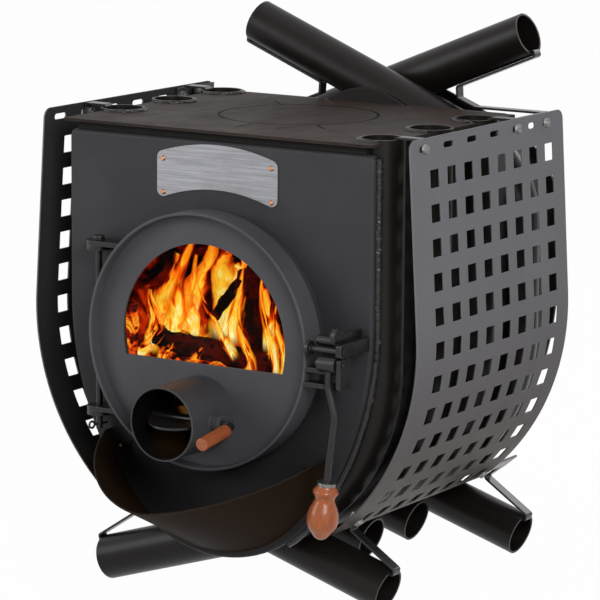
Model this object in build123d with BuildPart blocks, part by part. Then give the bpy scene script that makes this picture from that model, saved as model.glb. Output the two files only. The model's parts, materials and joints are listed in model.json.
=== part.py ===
from build123d import *
import math
import os

os.makedirs("parts", exist_ok=True)

# Frame: X = 0 in the middle, Z = 0 on the floor, the viewer on the -Y side.
# Depths are measured from the front face of the front plate, which lies at front_y.
front_y = -206.42
door_z = 363.7
sheet = 4
weld_gap = 0.15
seat_gap = 0.1
run_gap = 0.05
part_gap = 0.3

# Body
half_width = 236
side_z = 394.7
flank_end = (152, 142.7)
bottom_z = 66.7
pan_depth = 13
front_top_z = 619.7

# Air tubes
tube_r = 30.15
tube_wall = 3
tube_x = 222.7
half_pitch = 2 * tube_r + weld_gap
first_right_y = pan_depth + weld_gap + tube_r
leg_slope = math.radians(17.3)
leg_end_x = 203
short_end_x = 104
leg_bend = 238
horn_slope = math.radians(22.3)
horn_end_x = 200
horn_bend = 120
ridge_z = 650.7
leg_axis_z = tube_r * math.cos(leg_slope) + leg_end_x * math.tan(leg_slope)
horn_corner_z = ridge_z - tube_x * math.tan(horn_slope)
leg_corner_z = leg_axis_z + tube_x * math.tan(leg_slope)
bend_x = tube_x - horn_bend
bend_z = horn_corner_z - horn_bend * math.tan((math.pi / 2 - horn_slope) / 2)

# Top
top_z = 635.2
tube_rim_z = top_z + 3
top_half_width = 238
top_front_y = -9.5
cook_ring_y = 196
cook_ring_r = 107
arch_y = 366
rear_y = first_right_y + 7 * half_pitch + tube_r + weld_gap
ridge_infill_x = 44
edge_reach = half_width - tube_x
edge_lift = edge_reach / math.cos(horn_slope) - edge_reach * math.tan(horn_slope)
lintel_z = 612
baffle_z = 451

# Flue
flue_r = 59.5
flue_wall = 3
flue_z = 516.7
flue_end_y = 595
flue_grip = 46
flue_collar_wall = 2.5
flue_axis_y = 538
flue_spindle_r = 4

# Heat shields
shield_top = (283, 641.7)
shield_lean = math.radians(3.4)
shield_knee_z = 393.7
shield_bend = 320
shield_turn = 56.1
shield_sheet = 2
shield_front_y = 7.6
shield_rear_y = 412
hole_side = 23.5
hole_rows = 12
hole_columns = 8
slot_row = 13.6
low_bolt_row = 549
bolt_r = 3.9
shield_straight = (shield_top[1] - shield_knee_z) / math.cos(shield_lean)
shield_knee = (shield_top[0] + shield_straight * math.sin(shield_lean), shield_knee_z)
shield_centre = (
    shield_knee[0] - shield_bend * math.cos(shield_lean),
    shield_knee[1] - shield_bend * math.sin(shield_lean),
)

# Door
door_r = 169.6
door_front_y = -51
door_back_y = -14.3
door_plate_y = -33
door_plate_sheet = 3.5
collar_r = 166
window_r = 126.5
window_chord = 31.5
hinge_x = -176
hinge_y = -18
hinge_r = 4.5
cotter_z = 229
cotter_turn = 75
clip_turns = (20, 70, 110, 160)
clip_drop = 45.5
inlet_z = door_z - 94.8
inlet_r = 48.3
inlet_wall = 2.5
inlet_end_y = -127.4
damper_y = -80
damper_tilt = 8.3
spindle_r = 4
lever_y = -60
lever_z = 360.7
lever_pin_r = 4
knob_top = (207.6, 203.7)
knob_axis = (-0.1187, -0.9929)
knob_seat = (knob_top[0] + 38 * knob_axis[0], knob_top[1] + 38 * knob_axis[1])
knob_profile = [
    (0, 11.5), (3, 13), (9, 16.5), (14, 14), (18, 12.8), (25, 15), (35, 19),
    (45, 20.4), (55, 18.5), (63, 13), (68, 9.5), (71.5, 5),
]

# Ash lip
lip_half_width = 169
lip_reach = 181
lip_rim_z = 226.7
lip_root_z = 247
lip_root_r = 170.2
stud_x = 146
stud_z = 200.7


def upright(y):
    return Plane(origin=(0, front_y + y, 0), x_dir=(1, 0, 0), z_dir=(0, -1, 0))


def sideways(x):
    return Plane(origin=(x, front_y, 0), x_dir=(0, 1, 0), z_dir=(1, 0, 0))


def level(z):
    return Plane(origin=(0, front_y, z), x_dir=(1, 0, 0), z_dir=(0, 0, 1))


def tube_y(side, number):
    first = first_right_y if side > 0 else first_right_y + half_pitch
    return first + 2 * half_pitch * (number - 1)


def on_shield(distance, y, lift=0):
    turn = shield_lean - max(0, distance - shield_straight) / shield_bend
    outward = Vector(math.cos(turn), 0, math.sin(turn))
    if distance < shield_straight:
        spot = Vector(
            shield_top[0] + distance * math.sin(shield_lean),
            front_y + y,
            shield_top[1] - distance * math.cos(shield_lean),
        )
    else:
        spot = Vector(shield_centre[0], front_y + y, shield_centre[1]) + outward * shield_bend
    return Plane(origin=spot + outward * lift, x_dir=(0, 1, 0), z_dir=outward)


def save(builder, name):
    builder.part.label = name
    export_step(builder.part, f"parts/{name}.step")


# Lower half outline of the front and rear plates, right side, X across and Z up
with BuildLine() as flank:
    side_arc = TangentArc((half_width, side_z), flank_end, tangent=(0, -1))
    TangentArc(side_arc @ 1, (0, bottom_z), tangent=side_arc % 1)

# Centre lines of the closed wall, right side: straight wall, roof, and the bend below them
shell_z = leg_corner_z + leg_bend * math.tan((math.pi / 2 - leg_slope) / 2)
with BuildLine() as wall_line:
    Line((tube_x, top_z - sheet - part_gap), (tube_x, shell_z))
with BuildLine() as roof_line:
    FilletPolyline(
        (ridge_infill_x, ridge_z - ridge_infill_x * math.tan(horn_slope)),
        (tube_x, horn_corner_z),
        (tube_x, shell_z),
        radius=horn_bend,
    )
with BuildLine() as shell_bend:
    CenterArc((tube_x - leg_bend, shell_z), leg_bend, 0, -72)

# Body: dished front plate with a round opening
with BuildPart() as front_plate:
    with BuildSketch(upright(0)):
        with BuildLine():
            Polyline((0, front_top_z), (half_width, front_top_z), (half_width, side_z))
            add(flank.line)
            mirror(about=Plane.YZ)
        make_face()
    extrude(amount=-pan_depth)
    fillet(front_plate.edges().filter_by(Axis.Y), radius=9)
    fillet(front_plate.faces().sort_by(Axis.Y)[0].edges(), radius=5)
    offset(amount=-sheet, openings=front_plate.faces().sort_by(Axis.Y)[-1])
    with BuildSketch(upright(0)):
        with Locations((0, door_z)):
            Circle(148)
    extrude(amount=-pan_depth, mode=Mode.SUBTRACT)
    with BuildSketch(upright(0)):
        with Locations((146, door_z - 163), (-146, door_z - 163)):
            Circle(3 + seat_gap / 5)
        with GridLocations(168, 44.6, 2, 2):
            with Locations((0, 570)):
                Circle(1.62)
    extrude(amount=-sheet - 1, mode=Mode.SUBTRACT)
save(front_plate, "front_plate")

# Air tubes: straight tops on 1 to 3, the last one of each side crosses over as a horn
for side, hand in ((1, "right"), (-1, "left")):
    for number in (1, 2, 3, 4):
        foot_x = leg_end_x if number in (1, 4) else short_end_x
        foot = (-side * foot_x, leg_axis_z - foot_x * math.tan(leg_slope))
        knee = (side * tube_x, leg_corner_z)
        shoulder = (side * tube_x, horn_corner_z)
        horn_tip = (-side * horn_end_x, ridge_z + horn_end_x * math.tan(horn_slope))
        with BuildPart() as air_tube:
            with BuildLine(upright(tube_y(side, number))) as run:
                if number == 4:
                    bends = [horn_bend, leg_bend]
                    FilletPolyline(horn_tip, shoulder, knee, foot, radius=bends)
                else:
                    FilletPolyline((side * tube_x, tube_rim_z), knee, foot, radius=leg_bend)
            with BuildSketch(run.line ^ 0):
                Circle(tube_r)
                Circle(tube_r - tube_wall, mode=Mode.SUBTRACT)
            sweep(path=run.line)
        save(air_tube, f"air_tube_{hand}_{number}")

# Infill strips close the body between neighbouring tubes of one side
strips = {
    "infill_strips_right_front": (1, "wall", [(1, 2), (2, 3)]),
    "infill_strip_right_middle": (1, "step", [(3, 4)]),
    "infill_strip_right_rear": (1, "roof", [(4, 5)]),
    "infill_strip_left_front": (-1, "wall", [(0, 1)]),
    "infill_strips_left_middle": (-1, "wall", [(1, 2), (2, 3)]),
    "infill_strip_left_rear": (-1, "roof", [(3, 4)]),
}
for name, (side, shape, bays) in strips.items():
    with BuildPart() as infill:
        for before, after in bays:
            start_y = tube_y(side, before) + tube_r + weld_gap
            if before == 0:
                start_y = pan_depth + weld_gap
            end_y = tube_y(side, after) - tube_r - weld_gap
            if after == 5:
                end_y = rear_y - weld_gap
            with BuildSketch(upright(start_y)):
                with BuildLine():
                    add(shell_bend.line)
                trace(line_width=sheet)
                if shape == "roof":
                    with BuildLine():
                        add(roof_line.line)
                    trace(line_width=sheet)
            extrude(amount=start_y - end_y)
            if shape != "roof":
                step_y = min(end_y, arch_y + sheet - weld_gap)
                with BuildSketch(upright(start_y)):
                    with BuildLine():
                        add(wall_line.line)
                    trace(line_width=sheet)
                extrude(amount=start_y - step_y)
            if shape == "step":
                with BuildSketch(upright(arch_y + sheet + weld_gap)):
                    with BuildLine():
                        add(roof_line.line)
                    trace(line_width=sheet)
                extrude(amount=arch_y + sheet + weld_gap - end_y)
                with BuildSketch(upright(arch_y)):
                    with BuildLine():
                        Line((tube_x, bend_z), (tube_x, shell_z))
                    trace(line_width=sheet)
                extrude(amount=arch_y - end_y)
        if side < 0:
            mirror(about=Plane.YZ, mode=Mode.REPLACE)
    save(infill, name)

# Rear plate with the hole for the flue spigot
with BuildPart() as rear_plate:
    with BuildSketch(upright(rear_y)):
        with BuildLine():
            FilletPolyline(
                (0, ridge_z + edge_reach / math.cos(horn_slope)),
                (half_width, horn_corner_z + edge_lift),
                (half_width, side_z),
                radius=horn_bend + edge_reach,
            )
            add(flank.line)
            mirror(about=Plane.YZ)
        make_face()
        with Locations((0, flue_z)):
            Circle(flue_r + flue_collar_wall + weld_gap, mode=Mode.SUBTRACT)
    extrude(amount=-sheet)
save(rear_plate, "rear_plate")

# Arch plate stands behind the top plate and closes the step up to the roof
with BuildPart() as arch_plate:
    with BuildSketch(upright(arch_y)):
        with BuildLine():
            roof_bend = CenterArc((bend_x, bend_z), horn_bend, 11, 56.7)
            Polyline(roof_bend @ 0, ((roof_bend @ 0).X, top_z), (0, top_z))
            lintel_x = (ridge_z - lintel_z) / math.tan(horn_slope)
            Polyline(roof_bend @ 1, (lintel_x, lintel_z), (0, lintel_z))
            mirror(about=Plane.YZ)
        make_face()
        with BuildLine():
            FilletPolyline((-62, top_z), (0, top_z + 28.9), (62, top_z), radius=90)
            Line((-62, top_z), (62, top_z))
        make_face()
    extrude(amount=-sheet)
    with Locations((-tube_x, front_y + tube_y(-1, 3), top_z - 100)):
        Cylinder(tube_r + weld_gap, 300, mode=Mode.SUBTRACT)
save(arch_plate, "rear_arch_plate")

# Top plate, notched round the six straight tubes, with the cooking ring groove
with BuildPart() as top_plate:
    with BuildSketch(level(top_z)):
        with Locations((0, (top_front_y + arch_y - weld_gap) / 2)):
            RectangleRounded(2 * top_half_width, arch_y - weld_gap - top_front_y, 3)
        for side in (1, -1):
            for number in (1, 2, 3):
                with Locations((side * tube_x, tube_y(side, number))):
                    Circle(tube_r + weld_gap, mode=Mode.SUBTRACT)
    extrude(amount=-sheet)
    with BuildSketch(level(top_z)):
        with Locations((0, cook_ring_y)):
            Circle(cook_ring_r + 0.8)
            Circle(cook_ring_r - 0.8, mode=Mode.SUBTRACT)
    extrude(amount=-1.2, mode=Mode.SUBTRACT)
    with BuildSketch(level(top_z)):
        for turn in (-90, -45, 135):
            with Locations(Location((0, cook_ring_y), turn)):
                with Locations((cook_ring_r + 25.5, 0)):
                    SlotOverall(42, 1.4)
    extrude(amount=-sheet, mode=Mode.SUBTRACT)
save(top_plate, "top_plate")

with BuildPart() as top_seal:
    seal_height = top_z - sheet - front_top_z - 2 * seat_gap
    with BuildSketch(sideways(-half_width + 12)):
        with Locations((7, front_top_z + seat_gap + seal_height / 2)):
            RectangleRounded(10, seal_height, 3)
    extrude(amount=2 * half_width - 24)
save(top_seal, "top_plate_seal")

# Flue spigot with its damper; the collar around the spindle stops the flue pipe
with BuildPart() as flue_spigot:
    for radius, end_y in ((flue_r, flue_end_y), (flue_r + flue_collar_wall, flue_end_y - flue_grip)):
        with BuildSketch(upright(rear_y)):
            with Locations((0, flue_z)):
                Circle(radius)
                Circle(flue_r - flue_wall, mode=Mode.SUBTRACT)
        extrude(amount=rear_y - end_y)
    with BuildSketch(sideways(-flue_r - 2 * flue_collar_wall)):
        with Locations((flue_axis_y, flue_z)):
            Circle(flue_spindle_r + run_gap)
    extrude(amount=2 * flue_r + 4 * flue_collar_wall, mode=Mode.SUBTRACT)
save(flue_spigot, "flue_spigot")

with BuildPart() as flue_disc:
    with BuildSketch(level(flue_z - 1.5)):
        with Locations((0, flue_axis_y)):
            Circle(54.5)
    extrude(amount=3)
    with BuildSketch(sideways(-45)):
        with Locations((flue_axis_y, flue_z)):
            Circle(6.5)
    extrude(amount=90)
    with BuildSketch(sideways(-60)):
        with Locations((flue_axis_y, flue_z)):
            Circle(flue_spindle_r + 0.02)
    extrude(amount=120, mode=Mode.SUBTRACT)
save(flue_disc, "flue_damper_disc")

with BuildPart() as flue_spindle:
    with BuildLine(level(flue_z)) as handle_line:
        FilletPolyline(
            (-flue_r - flue_collar_wall - 6, flue_axis_y),
            (92, flue_axis_y),
            (92, flue_end_y - 16),
            radius=12,
        )
    with BuildSketch(handle_line.line ^ 0):
        Circle(flue_spindle_r)
    sweep(path=handle_line.line)
    with Locations((92, front_y + flue_end_y - 14, flue_z)):
        Sphere(9)
save(flue_spindle, "flue_damper_spindle")

# Baffle inside, resting on two rails
with BuildPart() as baffle:
    with BuildSketch(level(baffle_z)):
        with Locations((0, (150 + rear_y - weld_gap) / 2)):
            Rectangle(380, rear_y - weld_gap - 150)
    extrude(amount=5)
save(baffle, "baffle_plate")

with BuildPart() as rails:
    rail_x = tube_x - tube_r - weld_gap
    with BuildSketch(upright(45)):
        for side in (1, -1):
            with Locations((side * (rail_x - 10), baffle_z - seat_gap - 2.5)):
                Rectangle(20, 5)
    extrude(amount=45 - rear_y + weld_gap)
save(rails, "baffle_rails")

# Heat shields: one slotted row on top, twelve rows of square holes
for side, hand, low_bolts in ((1, "right", (60, 390)), (-1, "left", (43.3, 390))):
    with BuildPart() as shield:
        with BuildSketch(upright(shield_front_y)):
            with BuildLine():
                Line(shield_top, shield_knee)
                CenterArc(
                    shield_centre, shield_bend, math.degrees(shield_lean), -shield_turn
                )
            trace(line_width=shield_sheet)
        extrude(amount=shield_front_y - shield_rear_y)
        corners = shield.edges().filter_by(lambda edge: abs(edge.length - shield_sheet) < 0.01)
        fillet(corners, radius=13)
        for row in range(hole_rows):
            with BuildSketch(on_shield(53.6 + 44.3 * row, 218.6)):
                with GridLocations(43.45, 0, hole_columns, 1):
                    RectangleRounded(hole_side, hole_side, 1)
        for slot in range(5):
            with BuildSketch(on_shield(slot_row, tube_y(1, 1) + slot * half_pitch)):
                SlotOverall(26, 8)
        for slot_y in (324.5, 364.5):
            with BuildSketch(on_shield(slot_row, slot_y)):
                SlotOverall(18, 8)
        for bolt_y in low_bolts:
            with BuildSketch(on_shield(low_bolt_row, bolt_y)):
                Circle(bolt_r + 0.2)
        extrude(amount=4, both=True, mode=Mode.SUBTRACT)
        if side < 0:
            mirror(about=Plane.YZ, mode=Mode.REPLACE)
    save(shield, f"{hand}_heat_shield")

# Clips hang the shields on the tube rims; straps and struts hook on the open tube ends
inset = -(shield_sheet / 2 + 1.5 + seat_gap)
upper_flange = [on_shield(31, 0, inset).origin, on_shield(2.2, 0, inset).origin]
lower_flange = [
    on_shield(low_bolt_row - 13, 0, inset - 0.1).origin,
    on_shield(low_bolt_row + 10, 0, inset - 0.1).origin,
]
horn_out = (math.cos(horn_slope), math.sin(horn_slope))
horn_lip = (
    horn_end_x + (tube_r - tube_wall) * math.sin(horn_slope),
    ridge_z + horn_end_x * math.tan(horn_slope) - (tube_r - tube_wall) * math.cos(horn_slope),
)
leg_out = (math.cos(leg_slope), -math.sin(leg_slope))
leg_lip = (
    leg_end_x + (tube_r - tube_wall) * math.sin(leg_slope),
    tube_r * math.cos(leg_slope) + (tube_r - tube_wall) * math.cos(leg_slope),
)


def from_lip(lip, out, up, along, across):
    return (lip[0] + out[0] * along - up * out[1] * across,
            lip[1] + out[1] * along + up * out[0] * across)


clip_line = [
    (upper_flange[0].X, upper_flange[0].Z),
    (upper_flange[1].X, tube_rim_z + 1.8),
    (tube_x + 24, tube_rim_z + 1.8),
    (tube_x + 24, tube_rim_z - 32),
]
strap_z = 626.5
strap_top = 93
under_horn = ridge_z + strap_top * math.tan(horn_slope) - (tube_r + 2.4) / math.cos(horn_slope)
flange_x = on_shield(shield_top[1] - strap_z, 0, inset).origin.X
strap_lines = {}
for side, reach in ((1, 243), (-1, flange_x)):
    strap_lines[side] = [
        (reach, strap_z),
        (122, strap_z),
        (strap_top + 1, strap_z + 11),
        (strap_top, under_horn),
        from_lip(horn_lip, horn_out, -1, 3.4, 5.4),
        from_lip(horn_lip, horn_out, -1, 3.4, -3.2),
        from_lip(horn_lip, horn_out, -1, -16, -3.2),
    ]
# Flat tongue of the right strap, from its level leg forward to the shield: x and y ranges
strap_tongue = [((227, 243), (378, tube_y(-1, 4) + 8)), ((227, flange_x), (378, 394))]
strut_line = [
    (lower_flange[0].X, lower_flange[0].Z),
    (lower_flange[1].X, lower_flange[1].Z),
    (147, 104.5),
    from_lip(leg_lip, leg_out, 1, 3.4, 5.4),
    from_lip(leg_lip, leg_out, 1, 3.4, -3.2),
    from_lip(leg_lip, leg_out, 1, -16, -3.2),
]
# name, side, bent line, depth of the hook, depths of the flange's ends, depth of the bolt, flange, bolt row
clip_items = []
for side, number, bolt_y in ((1, 1, tube_y(1, 1)), (1, 3, tube_y(1, 3)), (-1, 1, tube_y(-1, 1)), (-1, 3, 324.5)):
    hook_y = tube_y(side, number)
    clip_items.append((side, clip_line, hook_y, (hook_y, bolt_y), bolt_y, upper_flange, slot_row))
strut_items = []
for side, hook_y, bolt_y in (
    (1, tube_y(-1, 1), 60),
    (1, tube_y(-1, 4), 390),
    (-1, tube_y(1, 1), tube_y(1, 1)),
    (-1, tube_y(1, 4), 390),
):
    strut_items.append((side, strut_line, hook_y, (hook_y, bolt_y), bolt_y, lower_flange, low_bolt_row))
brackets = {
    "upper_clips": clip_items,
    "horn_strap_right": [
        (1, strap_lines[1], tube_y(-1, 4), (364.5, 386), 364.5, upper_flange, slot_row)
    ],
    "horn_strap_left": [
        (-1, strap_lines[-1], tube_y(1, 4), (364.5, 402), 364.5, upper_flange, slot_row)
    ],
    "lower_struts": strut_items,
}
for name, items in brackets.items():
    solids = []
    for side, bent_line, hook_y, flange_ends, bolt_y, flange, row in items:
        with BuildPart() as bracket:
            with BuildSketch(upright(hook_y)):
                with BuildLine():
                    FilletPolyline(*bent_line, radius=3)
                trace(line_width=3)
            extrude(amount=8, both=True)
            near_y, far_y = sorted(flange_ends)
            with BuildSketch(upright(near_y - 8)):
                with BuildLine():
                    Line((flange[0].X, flange[0].Z), (flange[1].X, flange[1].Z))
                trace(line_width=3)
            extrude(amount=near_y - far_y - 16)
            if name == "horn_strap_right":
                with BuildSketch(level(strap_z - 1.5)):
                    for (low_x, high_x), (low_y, high_y) in strap_tongue:
                        with Locations(((low_x + high_x) / 2, (low_y + high_y) / 2)):
                            Rectangle(high_x - low_x, high_y - low_y)
                extrude(amount=3)
            with BuildSketch(on_shield(row, bolt_y)):
                Circle(bolt_r + 0.2)
            extrude(amount=-12, mode=Mode.SUBTRACT)
            if side < 0:
                mirror(about=Plane.YZ, mode=Mode.REPLACE)
        solids.append(bracket.part)
    with BuildPart() as bracket_group:
        add(solids)
    save(bracket_group, name)

bolt_spots = {
    1: [(slot_row, tube_y(1, 1)), (slot_row, tube_y(1, 3)), (slot_row, 364.5),
        (low_bolt_row, 60), (low_bolt_row, 390)],
    -1: [(slot_row, tube_y(-1, 1)), (slot_row, 324.5), (slot_row, 364.5),
         (low_bolt_row, tube_y(1, 1)), (low_bolt_row, 390)],
}
bolts = []
nuts = []
for side, spots in bolt_spots.items():
    for row, bolt_y in spots:
        with BuildPart() as bolt:
            with BuildSketch(on_shield(row, bolt_y, shield_sheet / 2 + seat_gap)):
                Circle(7)
            extrude(amount=4, taper=22)
            with BuildSketch(on_shield(row, bolt_y, shield_sheet / 2 + seat_gap)):
                Circle(bolt_r)
            extrude(amount=-15)
            if side < 0:
                mirror(about=Plane.YZ, mode=Mode.REPLACE)
        bolts.append(bolt.part)
        with BuildPart() as nut:
            flange_back = inset - 1.6 if row == slot_row else inset - 1.9
            with BuildSketch(on_shield(row, bolt_y, flange_back)):
                RegularPolygon(6.5, 6, major_radius=False)
                Circle(bolt_r + 0.02, mode=Mode.SUBTRACT)
            extrude(amount=-6.5)
            if side < 0:
                mirror(about=Plane.YZ, mode=Mode.REPLACE)
        nuts.append(nut.part)
with BuildPart() as shield_bolts:
    add(bolts)
save(shield_bolts, "shield_bolts")
with BuildPart() as shield_nuts:
    add(nuts)
save(shield_nuts, "shield_nuts")

# Fixed side of the door
with BuildPart() as door_collar:
    with BuildSketch(upright(-seat_gap)):
        with Locations((0, door_z)):
            Circle(collar_r)
            Circle(collar_r - 6, mode=Mode.SUBTRACT)
    extrude(amount=14 - seat_gap)
    fillet(door_collar.faces().sort_by(Axis.Y)[0].edges(), radius=1)
save(door_collar, "door_collar")

with BuildPart() as hinge_brackets:
    for foot_z in (465.7, 242.7):
        with BuildSketch(level(foot_z)):
            with Locations((hinge_x, hinge_y)):
                Circle(16.5)
            with Locations((hinge_x, (hinge_y - seat_gap) / 2)):
                Rectangle(33, -hinge_y - seat_gap)
            with Locations((hinge_x, hinge_y)):
                Circle(hinge_r + 0.02, mode=Mode.SUBTRACT)
        extrude(amount=6)
save(hinge_brackets, "hinge_brackets")

with BuildPart() as hinge_pin:
    with BuildSketch(level(222.7)):
        with Locations((hinge_x, hinge_y)):
            Circle(hinge_r)
    extrude(amount=261)
    with BuildSketch(level(478.3)):
        with Locations((hinge_x, hinge_y)):
            Circle(8)
    extrude(amount=6)
    fillet(hinge_pin.faces().sort_by(Axis.Z)[-1].edges(), radius=2.5)
    with Locations(Location((hinge_x, front_y + hinge_y, cotter_z), (0, 0, cotter_turn))):
        with Locations(Location((0, 0, 0), (0, 90, 0))):
            Cylinder(1.6, 20, mode=Mode.SUBTRACT)
save(hinge_pin, "hinge_pin")

with BuildPart() as hinge_cotter:
    with Locations(Location((hinge_x, front_y + hinge_y, cotter_z), (0, 0, cotter_turn))):
        with Locations(Location((2.25, 0, 0), (0, 90, 0))):
            Cylinder(1.57, 22.5)
        with Locations(Location((-13, 0, 0), (90, 0, 0))):
            Torus(4.4, 1.5)
save(hinge_cotter, "hinge_cotter")

with BuildPart() as keeper_bar:
    with BuildSketch(sideways(225)):
        with Locations((-69 / 2, 379.3)):
            Rectangle(69 - 2 * seat_gap, 17.5)
        with Locations((-62, 378.6)):
            Circle(lever_pin_r + 0.02, mode=Mode.SUBTRACT)
    extrude(amount=8)
    fillet(keeper_bar.edges().filter_by(Axis.X).group_by(Axis.Y)[0], radius=4)
save(keeper_bar, "latch_keeper_bar")

with BuildPart() as keeper_pin:
    with BuildSketch(sideways(184)):
        with Locations((-62, 378.6)):
            Circle(lever_pin_r)
    extrude(amount=51)
    with BuildSketch(sideways(177.5)):
        with Locations((-62, 378.6)):
            Circle(10)
    extrude(amount=6.5)
    fillet(keeper_pin.faces().sort_by(Axis.X)[0].edges(), radius=4)
save(keeper_pin, "latch_keeper_pin")

with BuildPart() as latch_stop:
    with BuildSketch(sideways(216)):
        with Locations((-28, 393)):
            Rectangle(56 - 2 * seat_gap, 10)
        with Locations((-55, 395.4)):
            Circle(13)
    extrude(amount=6)
    with BuildSketch(sideways(190)):
        with Locations((-52, 388.5)):
            Circle(7)
    extrude(amount=26)
save(latch_stop, "latch_stop")

# Ash lip: a ruled sheet from the rim down to the front plate, hung on two ball studs
rim_points = []
for step in range(13):
    turn = math.radians(8 + 164 * step / 12)
    reach = abs(math.sin(turn)) ** 1.25
    across = abs(math.cos(turn)) ** 1.25
    rim_points.append(
        (
            math.copysign(lip_half_width * across, math.cos(turn)),
            front_y - part_gap - lip_reach * reach,
            lip_rim_z - 0.35 * lip_reach * reach,
        )
    )
lip_rise = rim_points[0][2] - lip_root_z
root_x = math.sqrt(lip_root_r**2 - lip_rise**2)
root_z = lip_root_z + lip_rise
with BuildLine() as lip_rim:
    Spline(*rim_points)
with BuildLine() as lip_root:
    ThreePointArc(
        (root_x, front_y - part_gap, root_z),
        (0, front_y - part_gap, lip_root_z - lip_root_r),
        (-root_x, front_y - part_gap, root_z),
    )
lip_face = Face.make_surface_from_curves(lip_rim.edge(), lip_root.edge())
with BuildPart() as ash_lip:
    thicken(lip_face, amount=2)
    with BuildSketch(upright(-1)):
        with Locations((0, lip_root_z)):
            Circle(lip_root_r + 0.4)
        with Locations((stud_x + 4, stud_z + 1.3), (-stud_x - 4, stud_z + 1.3)):
            Rectangle(26, 11, mode=Mode.INTERSECT)
    extrude(amount=2)
    with BuildSketch(upright(-1)):
        for side in (1, -1):
            with Locations((side * stud_x, stud_z - 5)):
                Rectangle(13.6, 20)
    extrude(amount=2)
    with BuildSketch(upright(-1)):
        for side in (1, -1):
            with Locations((side * stud_x, stud_z)):
                Circle(3 + part_gap)
            with Locations((side * stud_x, stud_z - 9)):
                Rectangle(6 + 2 * part_gap, 18)
    extrude(amount=2, mode=Mode.SUBTRACT)
save(ash_lip, "ash_lip")

with BuildPart() as lip_studs:
    with BuildSketch(upright(sheet)):
        with Locations((stud_x, stud_z), (-stud_x, stud_z)):
            Circle(3)
    extrude(amount=sheet + 9)
    with Locations(
        (stud_x, front_y - 10.2, stud_z), (-stud_x, front_y - 10.2, stud_z)
    ):
        Sphere(4.25)
save(lip_studs, "lip_studs")

# Bare nameplate
with BuildPart() as nameplate:
    with BuildSketch(upright(-seat_gap)) as plate_face:
        with BuildLine():
            ThreePointArc((-93.5, 599.7), (0, 615.7), (93.5, 599.7))
            Line((93.5, 599.7), (93.5, 537.7))
            ThreePointArc((93.5, 537.7), (0, 556.7), (-93.5, 537.7))
            Line((-93.5, 537.7), (-93.5, 599.7))
        make_face()
        fillet(plate_face.vertices(), radius=9)
        with GridLocations(168, 44.6, 2, 2):
            with Locations((0, 570)):
                Circle(1.62, mode=Mode.SUBTRACT)
    extrude(amount=1.6)
save(nameplate, "nameplate")

with BuildPart() as rivets:
    with BuildSketch(upright(sheet)):
        with GridLocations(168, 44.6, 2, 2):
            with Locations((0, 570)):
                Circle(1.6)
    extrude(amount=sheet + 1.8)
    with BuildSketch(upright(-1.8)):
        with GridLocations(168, 44.6, 2, 2):
            with Locations((0, 570)):
                Circle(3.6)
    extrude(amount=1.8, taper=35)
save(rivets, "nameplate_rivets")

# Door
with BuildPart() as door_ring:
    with BuildSketch(upright(door_back_y)):
        with Locations((0, door_z)):
            Circle(door_r)
            Circle(door_r - sheet, mode=Mode.SUBTRACT)
    extrude(amount=door_back_y - door_front_y)
    fillet(door_ring.faces().sort_by(Axis.Y)[0].edges(), radius=1.2)
save(door_ring, "door_ring")

with BuildPart() as door_plate:
    with BuildSketch(upright(door_plate_y + door_plate_sheet)):
        with Locations((0, door_z)):
            Circle(door_r - sheet - weld_gap)
        with BuildSketch(mode=Mode.SUBTRACT):
            with Locations((0, door_z)):
                Circle(window_r)
            with Locations((0, door_z + 200 - window_chord)):
                Rectangle(400, 400, mode=Mode.INTERSECT)
        with Locations((0, inlet_z)):
            Circle(inlet_r - inlet_wall, mode=Mode.SUBTRACT)
    extrude(amount=door_plate_sheet)
    with BuildSketch(upright(door_plate_y + door_plate_sheet)):
        for turn in clip_turns:
            with Locations(Location((0, door_z), turn)):
                with Locations((141, 0)):
                    Circle(2.52)
        with Locations((70, door_z - clip_drop), (-70, door_z - clip_drop)):
            Circle(2.52)
    extrude(amount=2.2, mode=Mode.SUBTRACT)
save(door_plate, "door_plate")

glass_y = door_plate_y + door_plate_sheet + seat_gap
with BuildPart() as door_glass:
    with BuildSketch(upright(glass_y + 4)):
        with Locations((0, door_z)):
            Circle(133)
        with Locations((0, door_z + 200 - window_chord - 6)):
            Rectangle(400, 400, mode=Mode.INTERSECT)
    extrude(amount=4)
save(door_glass, "door_glass")

with BuildPart() as glass_clips:
    with BuildSketch(upright(glass_y + 4.1)):
        for turn in clip_turns:
            with Locations(Location((0, door_z), turn)):
                with Locations((139, 0)):
                    Rectangle(18, 16)
        for clip_x in (70, -70):
            with Locations((clip_x, door_z - clip_drop + 2)):
                Rectangle(16, 18)
    extrude(amount=-2)
    with BuildSketch(upright(glass_y + 4.1)):
        for turn in clip_turns:
            with Locations(Location((0, door_z), turn)):
                with Locations((141.2, 0)):
                    Rectangle(13.6, 16)
        for clip_x in (70, -70):
            with Locations((clip_x, door_z - clip_drop - 0.2)):
                Rectangle(16, 13.6)
    extrude(amount=4.1)
    with BuildSketch(upright(glass_y + 8)):
        for turn in clip_turns:
            with Locations(Location((0, door_z), turn)):
                with Locations((141, 0)):
                    Circle(2.52)
        with Locations((70, door_z - clip_drop), (-70, door_z - clip_drop)):
            Circle(2.52)
    extrude(amount=9, mode=Mode.SUBTRACT)
save(glass_clips, "glass_clips")

with BuildPart() as glass_screws:
    for radius, from_y, length in ((2.5, glass_y + 6.2, 8.3), (4.5, glass_y + 9.2, 3)):
        with BuildSketch(upright(from_y)):
            for turn in clip_turns:
                with Locations(Location((0, door_z), turn)):
                    with Locations((141, 0)):
                        Circle(radius)
            with Locations((70, door_z - clip_drop), (-70, door_z - clip_drop)):
                Circle(radius)
        extrude(amount=length)
save(glass_screws, "glass_screws")

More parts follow.
